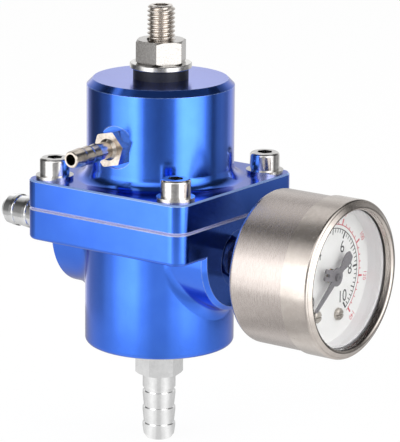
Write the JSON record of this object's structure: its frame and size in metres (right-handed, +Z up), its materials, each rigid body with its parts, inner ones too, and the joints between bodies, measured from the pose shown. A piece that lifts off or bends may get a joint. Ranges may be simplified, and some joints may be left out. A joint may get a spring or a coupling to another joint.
{
  "type": "fuel pressure regulator",
  "caption": "Adjustable fuel pressure regulator: flanged bonnet and body, hose barbs for inlet, return and vacuum, lock-nutted adjusting screw and a side dial gauge.",
  "frame": {"origin": "on the main axis, in the middle of the return barb's hose grip", "axes": "+Z up along the bonnet and the adjusting screw, +X towards the gauge, -Y towards the vacuum barb, -X towards the inlet barb"},
  "size_m": [0.1222, 0.0683, 0.1269],
  "materials": {
    "blue_anodised": "satin anodised",
    "nickel": "polished",
    "plated_steel": "bright",
    "screw_steel": "bright",
    "adjuster_steel": "satin",
    "spring_steel": "satin",
    "brass": "machined",
    "tube_bronze": "satin",
    "black_rubber": "matte",
    "diaphragm_rubber": "matte",
    "case_steel": "brushed",
    "bezel_steel": "polished",
    "lens": "clear",
    "spacer_plastic": "satin",
    "dial_paint": "matte",
    "pointer_paint": "satin"
  },
  "bodies": {
    "housing": {"lower_body": "blue_anodised", "spring_bonnet": "blue_anodised", "diaphragm": "diaphragm_rubber", "seat_insert": "brass", "main_spring": "spring_steel", "seal_washer": "black_rubber", "flange_screw_1": "screw_steel", "flange_screw_2": "screw_steel", "flange_screw_3": "screw_steel", "flange_screw_4": "screw_steel", "flange_washer_1": "screw_steel", "flange_washer_2": "screw_steel", "flange_washer_3": "screw_steel", "flange_washer_4": "screw_steel", "inlet_barb": "nickel", "return_barb": "nickel", "vacuum_barb": "nickel", "gauge_case": "case_steel", "gauge_bezel": "bezel_steel", "gauge_lens": "lens", "lens_gasket": "black_rubber", "lens_spacer": "spacer_plastic", "gauge_dial": "dial_paint", "dial_screw_1": "plated_steel", "dial_screw_2": "plated_steel", "gauge_socket": "brass", "case_screw_1": "plated_steel", "case_screw_2": "plated_steel", "bourdon_tube": "tube_bronze", "tube_tip": "brass", "movement_rear_plate": "brass", "movement_front_plate": "brass", "movement_pillar_1": "brass", "movement_pillar_2": "brass"},
    "cap": {"spring_cap": "plated_steel"},
    "adjuster": {"adjusting_screw": "adjuster_steel"},
    "washer": {"lock_washer": "plated_steel"},
    "nut": {"lock_nut": "plated_steel"},
    "valve": {"spring_plate": "plated_steel", "plate_nut": "plated_steel", "valve_head": "plated_steel", "valve_seal": "black_rubber"},
    "sector": {"sector_gear": "brass"},
    "pointer": {"pinion_arbor": "plated_steel", "gauge_pointer": "pointer_paint"},
    "link": {"movement_link": "plated_steel"}
  },
  "joints": [
    {"name": "cap_slide", "type": "slide", "parent": "housing", "child": "cap", "axis": [0, 0, 1], "range_m": [-0.005, 0.003], "deforming": ["main_spring"]},
    {"name": "adjuster_turn", "type": "hinge", "parent": "cap", "child": "adjuster", "pos_m": [0, 0, 0.08165], "axis": [0, 0, 1], "range_deg": [-1441, 865]},
    {"name": "nut_turn", "type": "hinge", "parent": "housing", "child": "washer", "pos_m": [0, 0, 0.0977], "axis": [0, 0, 1], "range_deg": [0, 721]},
    {"name": "nut_lift", "type": "slide", "parent": "washer", "child": "nut", "axis": [0, 0, 1], "range_m": [0, 0.0025]},
    {"name": "valve_lift", "type": "slide", "parent": "housing", "child": "valve", "axis": [0, 0, 1], "range_m": [0, 0.0012], "stiffness_N_per_m": 8000, "springref_m": -0.005, "deforming": ["diaphragm"]},
    {"name": "sector_turn", "type": "hinge", "parent": "housing", "child": "sector", "pos_m": [0.0524, 0, 0.03695], "axis": [1, 0, 0], "range_deg": [0, 38.5], "stiffness_Nm_per_rad": 0.0005},
    {"name": "pointer_turn", "type": "hinge", "parent": "housing", "child": "pointer", "pos_m": [0.0524, 0, 0.04655], "axis": [-1, 0, 0], "range_deg": [0, 270]},
    {"name": "link_turn", "type": "hinge", "parent": "sector", "child": "link", "pos_m": [0.0537, 0.00175, 0.03451], "axis": [1, 0, 0], "range_deg": [-38.6, 0]}
  ],
  "couplings": [
    {"joint": "adjuster_turn", "follows": "cap_slide", "rad_per_m": 5026.5},
    {"joint": "nut_turn", "follows": "nut_lift", "rad_per_m": 5026.5},
    {"joint": "pointer_turn", "follows": "sector_turn", "ratio": 7},
    {"joint": "link_turn", "follows": "sector_turn", "ratio": -1}
  ]
}
